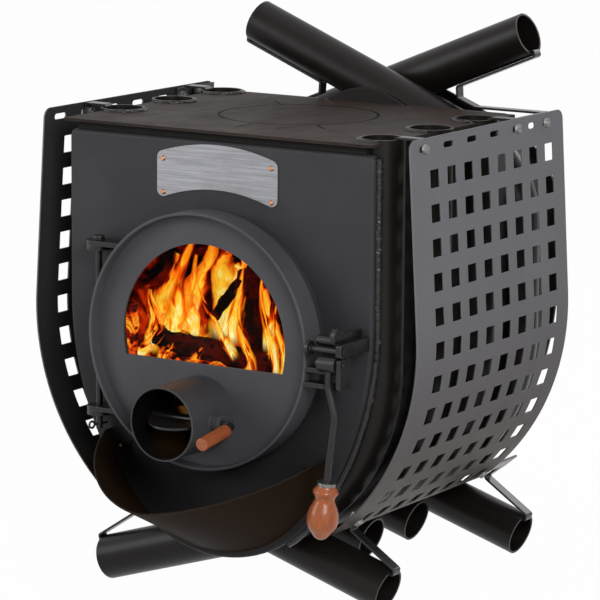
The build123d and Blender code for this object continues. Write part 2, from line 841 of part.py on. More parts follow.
with BuildPart() as door_rope:
    with BuildSketch(upright(door_back_y - seat_gap)):
        with Locations((0, door_z)):
            Circle(door_r - sheet - 1.1)
            Circle(door_r - sheet - 11.1, mode=Mode.SUBTRACT)
    extrude(amount=door_back_y - glass_y - seat_gap)
    fillet(door_rope.edges(), radius=3)
save(door_rope, "door_rope_seal")

with BuildPart() as rope_retainer:
    with BuildSketch(upright(-17)):
        with Locations((0, door_z)):
            Circle(door_r - sheet - 11.6)
            Circle(door_r - sheet - 14.6, mode=Mode.SUBTRACT)
    extrude(amount=-17 - glass_y)
save(rope_retainer, "rope_retaining_ring")

# Air inlet with its damper, turned from outside by the grip
with BuildPart() as air_inlet:
    with BuildSketch(upright(door_plate_y - seat_gap)):
        with Locations((0, inlet_z)):
            Circle(inlet_r)
            Circle(inlet_r - inlet_wall, mode=Mode.SUBTRACT)
    extrude(amount=door_plate_y - seat_gap - inlet_end_y)
    with BuildSketch(sideways(inlet_r - 1.5)):
        with Locations((damper_y, inlet_z)):
            Circle(10)
    extrude(amount=15)
    with BuildSketch(sideways(-60)):
        with Locations((damper_y, inlet_z)):
            Circle(spindle_r + run_gap)
    extrude(amount=130, mode=Mode.SUBTRACT)
save(air_inlet, "air_inlet_tube")

tilt = math.radians(damper_tilt)
damper_plane = Plane(
    origin=(0, front_y + damper_y, inlet_z),
    x_dir=(1, 0, 0),
    z_dir=(0, math.sin(tilt), -math.cos(tilt)),
)
with BuildPart() as air_disc:
    with BuildSketch(damper_plane):
        Circle(44.8)
    extrude(amount=1.5, both=True)
    with BuildSketch(sideways(-34)):
        with Locations((damper_y, inlet_z)):
            Circle(6)
    extrude(amount=68)
    with BuildSketch(sideways(-50)):
        with Locations((damper_y, inlet_z)):
            Circle(spindle_r + 0.02)
    extrude(amount=100, mode=Mode.SUBTRACT)
save(air_disc, "air_damper_disc")

with BuildPart() as air_spindle:
    with BuildLine(damper_plane) as spindle_line:
        FilletPolyline((-52, 0), (81, 0), (81, 68), radius=10)
    with BuildSketch(spindle_line.line ^ 0):
        Circle(spindle_r)
    sweep(path=spindle_line.line)
save(air_spindle, "air_damper_spindle")

with BuildPart() as grip:
    with BuildLine(damper_plane) as grip_line:
        Line((81, 20), (81, 77))
    with BuildSketch(grip_line.line ^ 0):
        Circle(8.5)
    sweep(path=grip_line.line)
    fillet(grip.edges(), radius=1.2)
    with BuildLine(damper_plane) as bore_line:
        Line((81, 15), (81, 68.1))
    with BuildSketch(bore_line.line ^ 0):
        Circle(spindle_r + 0.02)
    sweep(path=bore_line.line, mode=Mode.SUBTRACT)
save(grip, "air_damper_grip")

# Door side of the hinge and of the latch
with BuildPart() as hinge_ears:
    for ear_z in (472, 249):
        with BuildSketch(level(ear_z)):
            with Locations((hinge_x, hinge_y)):
                Circle(16.5)
            with Locations((hinge_x + 30, hinge_y - 9)):
                Rectangle(60, 15)
            with Locations((hinge_x, hinge_y)):
                Circle(hinge_r + run_gap, mode=Mode.SUBTRACT)
        extrude(amount=6)
    with BuildSketch(upright(10)):
        with Locations((0, door_z)):
            Circle(door_r + seat_gap)
    extrude(amount=80, mode=Mode.SUBTRACT)
save(hinge_ears, "door_hinge_ears")

with BuildPart() as latch_bracket:
    for lug_z in (345, 325.5):
        with BuildSketch(level(lug_z)):
            with Locations((193, -43)):
                Rectangle(64, 18)
        extrude(amount=6)
    with BuildSketch(upright(10)):
        with Locations((0, door_z)):
            Circle(door_r + seat_gap)
    extrude(amount=80, mode=Mode.SUBTRACT)
    with BuildSketch(sideways(224.6)):
        with Locations((-54, 348.5)):
            RectangleRounded(26, 39, 3)
    extrude(amount=6)
    with BuildSketch(sideways(220)):
        with Locations((lever_y, lever_z)):
            Circle(lever_pin_r + 0.02)
    extrude(amount=15, mode=Mode.SUBTRACT)
save(latch_bracket, "latch_bracket")

with BuildPart() as latch_pivot:
    with BuildSketch(sideways(193.9)):
        with Locations((lever_y, lever_z)):
            Circle(lever_pin_r)
    extrude(amount=39)
    with BuildSketch(sideways(193.9)):
        with Locations((lever_y, lever_z)):
            Circle(7)
    extrude(amount=3.3)
save(latch_pivot, "latch_pivot_pin")

lever_run = [(210, lever_z - 6), (209, 329.7), (218.4, 293.7), knob_top, knob_seat]
with BuildPart() as latch_lever:
    with BuildLine(upright(lever_y)) as lever_line:
        FilletPolyline(*lever_run[:3], lever_run[4], radius=14)
    with BuildSketch(lever_line.line ^ 0):
        Circle(5)
    sweep(path=lever_line.line)
    with BuildSketch(sideways(197.5)):
        with Locations((lever_y, lever_z)):
            Circle(11)
    extrude(amount=25)
    with BuildSketch(sideways(190)):
        with Locations((lever_y, lever_z)):
            Circle(lever_pin_r + run_gap)
    extrude(amount=40, mode=Mode.SUBTRACT)
save(latch_lever, "latch_lever")

knob_plane = Plane(
    origin=(knob_top[0], front_y + lever_y, knob_top[1]),
    x_dir=(-knob_axis[1], 0, knob_axis[0]),
    z_dir=(0, -1, 0),
)
with BuildPart() as ferrule:
    with BuildSketch(knob_plane):
        with Locations((0, 2)):
            Rectangle(24, 4)
        with Locations((0, 2)):
            Rectangle(10.06, 6, mode=Mode.SUBTRACT)
        with Locations((-20, 2)):
            Rectangle(40, 10, mode=Mode.SUBTRACT)
    revolve(axis=Axis(knob_plane.origin, knob_plane.y_dir))
save(ferrule, "latch_ferrule")

with BuildPart() as knob:
    with BuildSketch(knob_plane) as half_knob:
        with BuildLine():
            outline = Spline(*[(radius, -distance) for distance, radius in knob_profile])
            Polyline(outline @ 1, (0, -73), (0, -38.1), (5.03, -38.1), (5.03, -0.1), outline @ 0)
        make_face()
    revolve(axis=Axis(knob_plane.origin, knob_plane.y_dir))
save(knob, "latch_knob")
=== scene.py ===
import json
import math
import random

import bpy
from mathutils import Matrix, Vector


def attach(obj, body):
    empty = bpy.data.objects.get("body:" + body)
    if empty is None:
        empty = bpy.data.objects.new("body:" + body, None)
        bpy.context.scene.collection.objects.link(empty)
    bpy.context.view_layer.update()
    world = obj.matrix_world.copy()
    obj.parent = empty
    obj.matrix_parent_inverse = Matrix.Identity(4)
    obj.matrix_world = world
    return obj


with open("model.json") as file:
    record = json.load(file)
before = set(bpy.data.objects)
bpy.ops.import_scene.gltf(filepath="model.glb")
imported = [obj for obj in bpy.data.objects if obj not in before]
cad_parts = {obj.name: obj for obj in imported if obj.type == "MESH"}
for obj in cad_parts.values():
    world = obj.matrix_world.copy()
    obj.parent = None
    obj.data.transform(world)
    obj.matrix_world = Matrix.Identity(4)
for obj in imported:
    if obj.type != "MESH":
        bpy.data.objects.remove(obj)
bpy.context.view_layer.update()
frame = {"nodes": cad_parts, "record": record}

frontFace = -206.42    # depth of the front plate's face, mm; every depth below is measured from it


def place(across, depth, height):
    return Vector((across, depth + frontFace, height)) / 1000    # millimetres in, metres out


class Wire:    # one output of a node, so that sums read as plain sums
    def __init__(self, paint, socket):
        self.paint = paint
        self.socket = socket

    def sum(self, operation, first, second=0.0, clamp=False):
        settings = {"operation": operation, "use_clamp": clamp}
        return self.paint.node("ShaderNodeMath", settings, {0: first, 1: second})

    def __add__(self, other):
        return self.sum("ADD", self, other)

    __radd__ = __add__

    def __sub__(self, other):
        return self.sum("SUBTRACT", self, other)

    def __rsub__(self, other):
        return self.sum("SUBTRACT", other, self)

    def __mul__(self, other):
        return self.sum("MULTIPLY", self, other)

    __rmul__ = __mul__

    def __pow__(self, other):
        return self.sum("POWER", self, other)

    def most(self, other):
        return self.sum("MAXIMUM", self, other)

    def size(self):
        return self.sum("ABSOLUTE", self)

    def sine(self):
        return self.sum("SINE", self)

    def root(self):
        return self.sum("SQRT", self)

    def fraction(self):
        return self.sum("FRACT", self)

    def held(self):    # kept between 0 and 1
        return self.sum("ADD", self, 0.0, True)

    def step(self, low, high):    # 0 below low, 1 above high, soft between
        settings = {"interpolation_type": "SMOOTHSTEP"}
        return self.paint.node("ShaderNodeMapRange", settings, {0: self, 1: low, 2: high})


def full(colour):    # a plain colour gets its fourth number
    return colour if isinstance(colour, Wire) else (*colour, 1.0)


class Paint:    # a material, or the world, with its node tree
    def __init__(self, name, kind="materials"):
        self.owner = getattr(bpy.data, kind).new(name)
        self.owner.use_nodes = True
        self.tree = self.owner.node_tree
        self.tree.nodes.clear()
        self.spot = self.node("ShaderNodeTexCoord", output="Object")

    def node(self, kind, settings=None, sockets=None, output=0):
        made = self.tree.nodes.new(kind)
        for key, value in (settings or {}).items():
            if key == "stops":
                ramp = made.color_ramp
                while len(ramp.elements) < len(value):
                    ramp.elements.new(1.0)
                for element, (position, colour) in zip(ramp.elements, value):
                    element.position = position
                    element.color = full(colour)
            else:
                setattr(made, key, value)
        for key, value in (sockets or {}).items():
            if isinstance(value, Wire):
                self.tree.links.new(value.socket, made.inputs[key])
            else:
                made.inputs[key].default_value = value
        return Wire(self, made.outputs[output]) if made.outputs else made

    def moved(self, centre=(0, 0, 0), turn=(0, 0, 0), scale=(1, 1, 1), spot=None):
        ends = {0: spot or self.spot, 1: centre}
        shifted = self.node("ShaderNodeVectorMath", {"operation": "SUBTRACT"}, ends)
        return self.node("ShaderNodeMapping", {}, {0: shifted, "Rotation": turn, "Scale": scale})

    def noise(self, scale, detail=4.0, roughness=0.55, distortion=0.0, at=None, output=0):
        sockets = {"Vector": at or self.spot, "Scale": scale, "Detail": detail}
        sockets.update({"Roughness": roughness, "Distortion": distortion})
        return self.node("ShaderNodeTexNoise", {}, sockets, output)

    def axis(self, side, spot=None):    # X, Y or Z of a place or a direction
        return self.node("ShaderNodeSeparateXYZ", {}, {0: spot or self.spot}, side)

    def blend(self, factor, first, second, way="MIX"):
        settings = {"data_type": "RGBA", "blend_type": way}
        return self.node("ShaderNodeMix", settings, {0: factor, 6: full(first), 7: full(second)}, 2)

    def ramp(self, factor, stops):
        return self.node("ShaderNodeValToRGB", {"stops": stops}, {0: factor})

    def rounded(self, reach):    # normals that make sharp corners look round
        return self.node("ShaderNodeBevel", {"samples": 4}, {"Radius": reach})

    def edges(self, rounded):    # near 1 on sharp corners, 0 on flat ground
        flat = self.node("ShaderNodeNewGeometry", output="Normal")
        ends = {0: rounded, 1: flat}
        match = self.node("ShaderNodeVectorMath", {"operation": "DOT_PRODUCT"}, ends, 1)
        return ((1.0 - match) * 7.0).held()

    def coat(self, colour, roughness, height=None, reach=0.001, normal=None, **sockets):
        values = {"Base Color": full(colour), "Roughness": roughness}
        if height is not None:
            bump = {"Height": height, "Distance": reach, "Strength": 1.0}
            if normal:
                bump["Normal"] = normal
            values["Normal"] = self.node("ShaderNodeBump", {}, bump)
        values.update({key.replace("_", " "): value for key, value in sockets.items()})
        return self.node("ShaderNodeBsdfPrincipled", {}, values)

    def done(self, shader, end="ShaderNodeOutputMaterial"):
        self.node(end, {}, {0: shader})
        return self.owner


# Stove paints: base colour, colour where it is rubbed and where a painted highlight lies on its corners,
# roughness and gloss of each.
# Painted shade towards the floor: the colour is whole above the second height, m, and below the first only
# the last share is left.
# Bore: height of the tube's middle and radius of its bore, m, inside which shade is painted.
blackPaint = {
    "tubes": {"colour": (0.0068, 0.0053, 0.0047), "rub": (0.050, 0.045, 0.043), "rough": 0.36, "gloss": 0.18},
    "front": {"colour": (0.0365, 0.0360, 0.0400), "rub": (0.080, 0.080, 0.084), "rough": 0.50, "gloss": 0.13,
              "fade": (0.14, 0.52, 0.40)},
    "door": {"colour": (0.0650, 0.0640, 0.0710), "rub": (0.150, 0.150, 0.158), "rough": 0.50, "gloss": 0.16,
             "fade": (0.20, 0.34, 0.70)},
    "lip": {"colour": (0.0158, 0.0090, 0.0052), "rub": (0.085, 0.072, 0.064), "rough": 0.50, "gloss": 0.012},
    "inlet": {"colour": (0.0480, 0.0465, 0.0500), "rub": (0.150, 0.150, 0.158), "rough": 0.44, "gloss": 0.16,
              "bore": (0.2689, 0.0474)},
    "hinge": {"colour": (0.0095, 0.0088, 0.0088), "rub": (0.085, 0.080, 0.079), "rough": 0.27, "gloss": 0.36},
    "inside": {"colour": (0.0060, 0.0048, 0.0042), "rub": (0.020, 0.016, 0.014), "rough": 0.80,
               "gloss": 0.15},
    "weld": {"colour": (0.0105, 0.0094, 0.0090), "rub": (0.060, 0.056, 0.054), "rough": 0.30, "gloss": 0.40},
}
boreShade = (0.0022, 0.0020, 0.0020)    # painted shade inside the air inlet


def shades(colour, share):    # the same colour, lighter or darker
    return [share * part for part in colour]


def makeBlack(name, look):    # stove paint: fine grain, faint clouds, and on its corners a lighter colour, partly rubbed wear and partly painted highlight
    paint = Paint(name)
    rounded = paint.rounded(0.0012)
    corner = paint.edges(rounded)
    clouds = paint.noise(7.0, 5.0, 0.6)
    grain = paint.noise(900.0, 3.0, 0.7)
    scuffs = paint.noise(34.0, 6.0, 0.7, 0.6)
    base = paint.blend(clouds.step(0.35, 0.70), look["colour"], shades(look["colour"], 1.25))
    # painted highlight on the corners, broken up by scuffs of real wear
    rubAndHighlightMask = (corner * (0.45 + 0.75 * scuffs)).held()
    colour = paint.blend(rubAndHighlightMask, base, look["rub"])
    speck = grain.step(0.62, 0.78) * 0.22
    colour = paint.blend(speck, colour, shades(look["colour"], 1.9))
    if "fade" in look:    # painted shade: darker towards the floor
        low, high, share = look["fade"]
        shadedColour = paint.blend(1.0, colour, [share] * 3, "MULTIPLY")
        colour = paint.blend(paint.axis("Z").step(low, high), shadedColour, colour)
    if "bore" in look:    # painted shade: black inside the tube's bore
        middle, radius = look["bore"]
        across = paint.axis("X")
        lift = paint.axis("Z") - middle
        inside = 1.0 - (across * across + lift * lift).step((radius - 0.0012) ** 2, radius ** 2)
        colour = paint.blend(inside, colour, boreShade)
    roughness = look["rough"] + (clouds - 0.5) * 0.16 + (grain - 0.5) * 0.10 - corner * 0.08
    relief = grain * 0.5 + scuffs * 0.5
    gloss = look["gloss"]
    return paint.done(paint.coat(colour, roughness, relief, 0.00022, rounded, Specular_IOR_Level=gloss))


# Hot plate: its colours, the reach of the dark patch over the fire, m, and its groove and slits in mm,
# with the slits' bearings in degrees
topPaint = {
    "colour": (0.0250, 0.0192, 0.0168), "dark": (0.0125, 0.0100, 0.0090), "warm": (0.042, 0.0305, 0.0250),
    "rub": (0.090, 0.090, 0.096), "soot": (0.0015, 0.0012, 0.0012), "gloss": 0.03, "heat": (0.05, 0.24),
    "ringCentre": (0, 196, 635.2), "ringRadius": 107, "grooveWidth": 3.2,
    "slits": (-90, -45, 135), "slitMiddle": 132.5, "slitHalf": 20, "slitWidth": 3.0,
}


def sootIn(off, width):    # 1 in a groove and 0 beyond it; off is the way from the groove's middle
    return 1.0 - off.step(width / 2000, width / 1000)


def makeTop():    # paint gone brown and cloudy, wiped streaks, soot in the ring and the slits, a painted highlight on its corners
    paint = Paint("hotPlatePaint")
    rounded = paint.rounded(0.0012)
    corner = paint.edges(rounded)
    clouds = paint.noise(5.5, 6.0, 0.62, 0.3)
    stains = paint.noise(17.0, 5.0, 0.6, 1.2)
    grain = paint.noise(700.0, 3.0, 0.7)
    streaks = paint.noise(42.0, 4.0, 0.6, at=paint.moved(turn=(0, 0, 0.5), scale=(1, 0.12, 1)))
    middle = place(*topPaint["ringCentre"])
    away = paint.node("ShaderNodeVectorMath", {"operation": "DISTANCE"}, {0: paint.spot, 1: middle}, 1)
    heat = 1.0 - away.step(*topPaint["heat"])
    soot = sootIn((away - topPaint["ringRadius"] / 1000).size(), topPaint["grooveWidth"])
    for bearing in topPaint["slits"]:
        ray = paint.moved(middle, (0, 0, math.radians(-bearing)))
        past = (paint.axis("X", ray) - topPaint["slitMiddle"] / 1000).size() - topPaint["slitHalf"] / 1000
        off = paint.axis("Y", ray).size().most(past)
        soot = soot.most(sootIn(off, topPaint["slitWidth"]))
    colour = paint.blend(clouds.step(0.30, 0.72), topPaint["colour"], topPaint["warm"])
    colour = paint.blend((stains.step(0.50, 0.74) * 0.55 + heat * 0.30).held(), colour, topPaint["dark"])
    # painted highlight on the corners, patchy with the clouds
    colour = paint.blend((corner * (0.4 + clouds)).held(), colour, topPaint["rub"])
    colour = paint.blend(soot, colour, topPaint["soot"])
    roughness = 0.50 + (stains - 0.5) * 0.20 + (streaks - 0.5) * 0.22
    relief = grain * 0.5 + streaks * 0.3
    gloss = topPaint["gloss"]
    return paint.done(paint.coat(colour, roughness, relief, 0.00025, rounded, Specular_IOR_Level=gloss))


# Shields: colour above and the painted reflection low down with the heights between, m, cut edges with their
# painted highlight, and the share of colour left on the side towards the tubes, where shade is painted
shieldPaint = {"colour": (0.136, 0.133, 0.146), "low": (0.044, 0.031, 0.026), "change": (0.10, 0.46),
               "rub": (0.32, 0.31, 0.31), "inner": 0.22, "gloss": 0.16}


def makeShield():    # grey sheet, a painted reflection browner and darker towards the floor, painted shade on the side towards the tubes, a painted highlight on its cut edges
    paint = Paint("shieldPaint")
    rounded = paint.rounded(0.0009)
    corner = paint.edges(rounded)
    facing = paint.axis("X", paint.node("ShaderNodeNewGeometry", output="Normal"))
    inner = 1.0 - (facing * paint.axis("X")).step(-0.030, 0.0)    # painted shade on the side that faces the tubes
    lowReflection = 1.0 - paint.axis("Z").step(*shieldPaint["change"])
    clouds = paint.noise(6.0, 5.0, 0.6)
    grain = paint.noise(800.0, 3.0, 0.7)
    brushed = paint.noise(60.0, 3.0, 0.6, at=paint.moved(scale=(1, 1, 0.08)))
    # painted reflection, browner and darker towards the floor
    colour = paint.blend(lowReflection, shieldPaint["colour"], shieldPaint["low"])
    colour = paint.blend(clouds.step(0.40, 0.75) * 0.25, colour, shades(shieldPaint["colour"], 0.75))
    colour = paint.blend(grain.step(0.60, 0.80) * 0.16, colour, shieldPaint["rub"])
    # painted highlight on the cut edges
    colour = paint.blend((corner * 0.75).held(), colour, shieldPaint["rub"])
    dim = paint.blend(1.0, colour, [shieldPaint["inner"]] * 3, "MULTIPLY")
    colour = paint.blend(inner, colour, dim)
    roughness = 0.50 + (clouds - 0.5) * 0.15 + (brushed - 0.5) * 0.10
    gloss = shieldPaint["gloss"]
    return paint.done(paint.coat(colour, roughness, grain, 0.00012, rounded, Specular_IOR_Level=gloss))


# Fasteners: how fine their mottling is, its two colours, the least roughness and what it adds
metalLook = {
    "zincPlate": {"mottle": 260.0, "dark": (0.14, 0.14, 0.138), "light": (0.30, 0.30, 0.295),
                  "rough": (0.30, 0.22)},
    "copperRivet": {"mottle": 420.0, "dark": (0.42, 0.17, 0.09), "light": (0.66, 0.32, 0.18),
                    "rough": (0.28, 0.2)},
}


def makeMetal(name, look):    # plated or bare metal, a little dull
    paint = Paint(name)
    cloud = paint.noise(look["mottle"], 4.0, 0.6)
    colour = paint.blend(cloud.step(0.35, 0.7), look["dark"], look["light"])
    least, more = look["rough"]
    roughness = least + cloud * more
    return paint.done(paint.coat(colour, roughness, cloud, 0.00008, paint.rounded(0.0005), Metallic=1.0))


plateLook = {"dark": (0.215, 0.218, 0.236), "light": (0.335, 0.338, 0.358), "cloud": (0.19, 0.185, 0.19),
             "rub": (0.70, 0.70, 0.70)}


def makeSilver():    # bare nameplate, brushed along its length, a painted highlight on its edges
    paint = Paint("brushedPlate")
    rounded = paint.rounded(0.0006)
    corner = paint.edges(rounded)
    lines = paint.noise(340.0, 4.0, 0.75, at=paint.moved(scale=(0.035, 1, 1)))
    fine = paint.noise(1500.0, 3.0, 0.7, at=paint.moved(scale=(0.02, 1, 1)))
    cloud = paint.noise(16.0, 4.0, 0.6)
    colour = paint.blend(lines.step(0.30, 0.72), plateLook["dark"], plateLook["light"])
    colour = paint.blend(cloud.step(0.40, 0.8) * 0.35, colour, plateLook["cloud"])
    # painted highlight on the edges
    colour = paint.blend(corner * 0.6, colour, plateLook["rub"])
    roughness = 0.36 + lines * 0.16 + (cloud - 0.5) * 0.12
    relief = lines * 0.6 + fine * 0.4
    return paint.done(paint.coat(colour, roughness, relief, 0.00010, rounded, Metallic=0.85))


# Rope: its colours and the width of a plait, m
ropePaint = {"colour": (0.0040, 0.0036, 0.0034), "thread": (0.030, 0.028, 0.027), "pitch": 0.0052}


def makeRope():    # braided glass-fibre rope
    paint = Paint("braidedRope")
    across, depth, height = (paint.axis(side) for side in "XYZ")
    angle = (across + depth) * (2 * math.pi / ropePaint["pitch"])
    lift = (height - depth) * (2 * math.pi / ropePaint["pitch"])
    braid = (angle + lift).sine().most((angle - lift).sine()) * 0.5 + 0.5
    fluff = paint.noise(1400.0, 3.0, 0.7)
    colour = paint.blend((braid * fluff * 1.4).held(), ropePaint["colour"], ropePaint["thread"])
    return paint.done(paint.coat(colour, 0.92, braid + fluff * 0.4, 0.0009, Specular_IOR_Level=0.15))


# Pane: the soot's tint, and alpha where it is clear and where it is smeared
glassLook = {"tint": (0.014, 0.010, 0.009), "clear": 0.025, "smeared": 0.08}


def makeGlass():    # ceramic pane: nearly clear, a breath of soot in patches
    paint = Paint("ceramicPane")
    smear = paint.noise(11.0, 5.0, 0.6, 0.8)
    alpha = glassLook["clear"] + smear.step(0.52, 0.85) * (glassLook["smeared"] - glassLook["clear"])
    return paint.done(paint.coat(glassLook["tint"], 0.08 + smear * 0.10, Alpha=alpha, Specular_IOR_Level=0.5))


# Wood: its colours, the pitch of its year rings and the way to the tree's heart, m, and the tint's share
woodLook = {"light": (0.44, 0.130, 0.032), "mid": (0.255, 0.057, 0.012), "dark": (0.080, 0.014, 0.003),
            "ring": 0.0034, "heart": 0.030, "tinted": 0.20}


def makeWood(name, centre, turn, tint):    # lacquered turned wood, its local X along the grain
    paint = Paint(name)
    grainSpot = paint.moved(centre, turn)
    wobble = paint.noise(26.0, 2.0, 0.5, at=grainSpot, output=1)
    bend = {0: wobble, 1: (0.004, 0.004, 0.004), 2: grainSpot}
    bent = paint.node("ShaderNodeVectorMath", {"operation": "MULTIPLY_ADD"}, bend)
    side = paint.axis("Y", bent)
    farSide = paint.axis("Z", bent) + woodLook["heart"]
    across = (side * side + farSide * farSide).root()
    rings = (across * (2 * math.pi / woodLook["ring"])).sine() * 0.5 + 0.5
    fibre = paint.noise(520.0, 4.0, 0.7, at=paint.moved(scale=(0.07, 1, 1), spot=grainSpot))
    pores = paint.noise(1100.0, 3.0, 0.6, at=paint.moved(scale=(0.05, 1, 1), spot=grainSpot))
    cloud = paint.noise(55.0, 4.0, 0.6, at=paint.moved(scale=(0.35, 1, 1), spot=grainSpot))
    figure = (rings * 0.10 + fibre * 0.60 + cloud * 0.50 - 0.08).held()
    stops = [(0.18, woodLook["dark"]), (0.46, woodLook["mid"]), (0.82, woodLook["light"])]
    colour = paint.ramp(figure, stops)
    colour = paint.blend(pores.step(0.58, 0.72) * 0.55, colour, woodLook["dark"])
    colour = paint.blend(woodLook["tinted"], colour, tint)
    relief = fibre * 0.6 + pores * 0.4
    return paint.done(paint.coat(colour, 0.34 + fibre * 0.16, relief, 0.00014, Specular_IOR_Level=0.30,
                                 Coat_Weight=0.30, Coat_Roughness=0.14))


# The fire's colours from dark to hottest, and how strongly each part of it shines.
# Sill: the light fades out between these heights, m, so that little of it shows through the air inlet.
flameStops = [(0.00, (0.0, 0.0, 0.0)), (0.14, (0.10, 0.002, 0.0)), (0.30, (0.55, 0.022, 0.0)),
              (0.46, (1.0, 0.105, 0.002)), (0.64, (1.0, 0.31, 0.006)), (0.82, (1.0, 0.62, 0.040)),
              (1.00, (1.0, 0.93, 0.42))]
fireLook = {
    "flame": {"shine": 1.1, "sill": (0.300, 0.311)},
    "smoulder": {"shine": 0.85, "low": (0.30, 0.40), "left": (-0.215, -0.120)},
    "charcoal": {"shine": 0.9, "sill": (0.300, 0.310), "bark": (0.0050, 0.0022, 0.0015),
                 "ash": (0.034, 0.015, 0.009)},
}


def ridge(pattern, sharpness):    # thin lines where a pattern crosses zero
    return (1.0 - (pattern * sharpness).size()).held()


def makeFlame():    # silk of fire: folds run along each tongue's own map, edges soft, tips broken up
    look = fireLook["flame"]
    paint = Paint("flamePaint")
    sheet = paint.node("ShaderNodeUVMap")
    column, rise = paint.axis("X", sheet), paint.axis("Y", sheet)
    side = (column * 0.5).fraction() * 4.0 - 1.0
    flow = paint.moved(scale=(1.5, 1.7, 1), spot=sheet)
    coarse = paint.noise(1.0, 1.5, 0.45, 1.7, at=flow) - 0.5
    fine = paint.noise(2.3, 2.0, 0.5, 2.2, at=flow) - 0.5
    shape = 0.95 - side.size() - rise * rise * 0.70 + coarse * (1.0 + rise * 2.6) + fine * (0.2 + rise * 0.6)
    fold = ridge(coarse, 7.0) ** 2.0
    curl = ridge(fine, 8.0) ** 2.0
    core = shape.step(0.05, 0.85)
    heat = 0.12 + core * 0.34 + (1.0 - rise) ** 2.0 * 0.30 + fold * 0.26 + curl * 0.14 + coarse * 1.3
    above = paint.axis("Z").step(*look["sill"])
    alpha = shape.step(0.0, 0.30) * rise.step(0.0, 0.12) * (0.42 + core * 0.42 + fold * 0.30) * above
    colour = paint.ramp(heat.held(), flameStops)
    return paint.done(paint.coat((0.0, 0.0, 0.0), 1.0, Specular_IOR_Level=0.0, Emission_Color=colour,
                                 Emission_Strength=look["shine"], Alpha=alpha.held()))


def makeSmoulder():    # the dark depth of the fire: red smoke, brighter low down and at the left
    look = fireLook["smoulder"]
    paint = Paint("smoulderPaint")
    smoke = paint.noise(15.0, 3.0, 0.5, 1.6)
    wisp = paint.noise(34.0, 3.0, 0.55, 2.0, at=paint.moved(scale=(1, 1, 0.5)))
    curl = ridge(wisp - 0.5, 8.0) ** 2.0
    low = 1.0 - paint.axis("Z").step(*look["low"])
    left = 1.0 - paint.axis("X").step(*look["left"])
    glow = smoke.step(0.44, 0.76) * 0.22 + curl * smoke.step(0.42, 0.64) * 0.12 + low * smoke * 0.22
    glow = glow + left * smoke.step(0.34, 0.70) * 0.22 - 0.02
    colour = paint.ramp(glow.held(), flameStops)
    return paint.done(paint.coat((0.0, 0.0, 0.0), 1.0, Specular_IOR_Level=0.0, Emission_Color=colour,
                                 Emission_Strength=look["shine"]))


def makeCharcoal(name, glowing):    # burnt wood: broken black bark with ash, embers glowing through it
    look = fireLook["charcoal"]
    paint = Paint(name)
    bark = paint.noise(170.0, 5.0, 0.7, 0.8)
    coals = paint.noise(64.0, 4.0, 0.65, 0.9)
    patch = paint.noise(26.0, 3.0, 0.5, 0.5)
    crack = ridge(coals - 0.5, 11.0)
    colour = paint.blend(bark.step(0.58, 0.80) * 0.5, look["bark"], look["ash"])
    above = paint.axis("Z").step(*look["sill"])
    heat = coals.step(0.46, 0.74) * patch.step(0.36, 0.60) * (0.10 + 0.60 * glowing)
    heat = heat + crack * patch.step(0.44, 0.60) * (0.10 + 0.50 * glowing)
    heat = heat + patch.step(0.40, 0.70) * 0.20 * glowing
    glow = paint.ramp((heat * above).held(), flameStops)
    return paint.done(paint.coat(colour, 0.85, bark + coals, 0.0014, Specular_IOR_Level=0.08,
                                 Emission_Color=glow, Emission_Strength=look["shine"]))


# The turned wood: middle of each piece, how its grain is turned, and a tint over it
knob = {"centre": place(203, -60, 168), "turn": (0, math.radians(-90), 0), "tint": (0.42, 0.115, 0.030)}
grip = {"centre": place(104, -80, 268.9), "turn": (0, 0, 0), "tint": (0.38, 0.115, 0.062)}

# A finish for each of the record's slots
finishes = {
    "tube_black": makeBlack("tubePaint", blackPaint["tubes"]),
    "front_black": makeBlack("frontPaint", blackPaint["front"]),
    "door_black": makeBlack("doorPaint", blackPaint["door"]),
    "top_black": makeTop(),
    "shield_grey": makeShield(),
    "zinc": makeMetal("zincPlate", metalLook["zincPlate"]),
    "plate_silver": makeSilver(),
    "rivet_copper": makeMetal("copperRivet", metalLook["copperRivet"]),
    "rope_black": makeRope(),
    "stove_glass": makeGlass(),
    "knob_wood": makeWood("knobWood", **knob),
}
gripWood = makeWood("gripWood", **grip)
hingePaint = makeBlack("hingePaint", blackPaint["hinge"])
insidePaint = makeBlack("insidePaint", blackPaint["inside"])
weldPaint = makeBlack("weldPaint", blackPaint["weld"])
flamePaint = makeFlame()
smoulderPaint = makeSmoulder()
charPaint = makeCharcoal("charPaint", 0.0)
emberPaint = makeCharcoal("emberPaint", 1.0)

# Nodes whose finish differs from their slot's
otherFinish = {
    "air_inlet_tube": makeBlack("inletPaint", blackPaint["inlet"]),
    "ash_lip": makeBlack("lipPaint", blackPaint["lip"]),
    "air_damper_grip": gripWood,
}
hingeNodes = (
    "air_damper_disc", "air_damper_spindle", "latch_lever", "latch_bracket", "latch_stop", "latch_pivot_pin",
    "latch_keeper_bar", "latch_keeper_pin", "door_hinge_ears", "hinge_brackets", "hinge_pin", "hinge_cotter",
    "lip_studs", "horn_strap_left", "horn_strap_right", "lower_struts", "upper_clips",
)
insideNodes = ("baffle_plate", "baffle_rails", "glass_clips", "rope_retaining_ring", "flue_damper_disc")
otherFinish.update(dict.fromkeys(hingeNodes, hingePaint))
otherFinish.update(dict.fromkeys(insideNodes, insidePaint))


def dress(piece, material):
    if piece.material_slots:
        for holder in piece.material_slots:
            holder.material = material
    else:
        piece.data.materials.append(material)


slotOf = {part["node"]: part["material_slot"] for part in frame["record"]["subparts"]}
for name, piece in frame["nodes"].items():
    dress(piece, otherFinish.get(name, finishes[slotOf[name]]))
bpy.ops.object.select_all(action="DESELECT")
print("finishes on the stove's own parts")


def choose(piece):
    bpy.ops.object.select_all(action="DESELECT")
    piece.select_set(True)
    bpy.context.view_layer.objects.active = piece


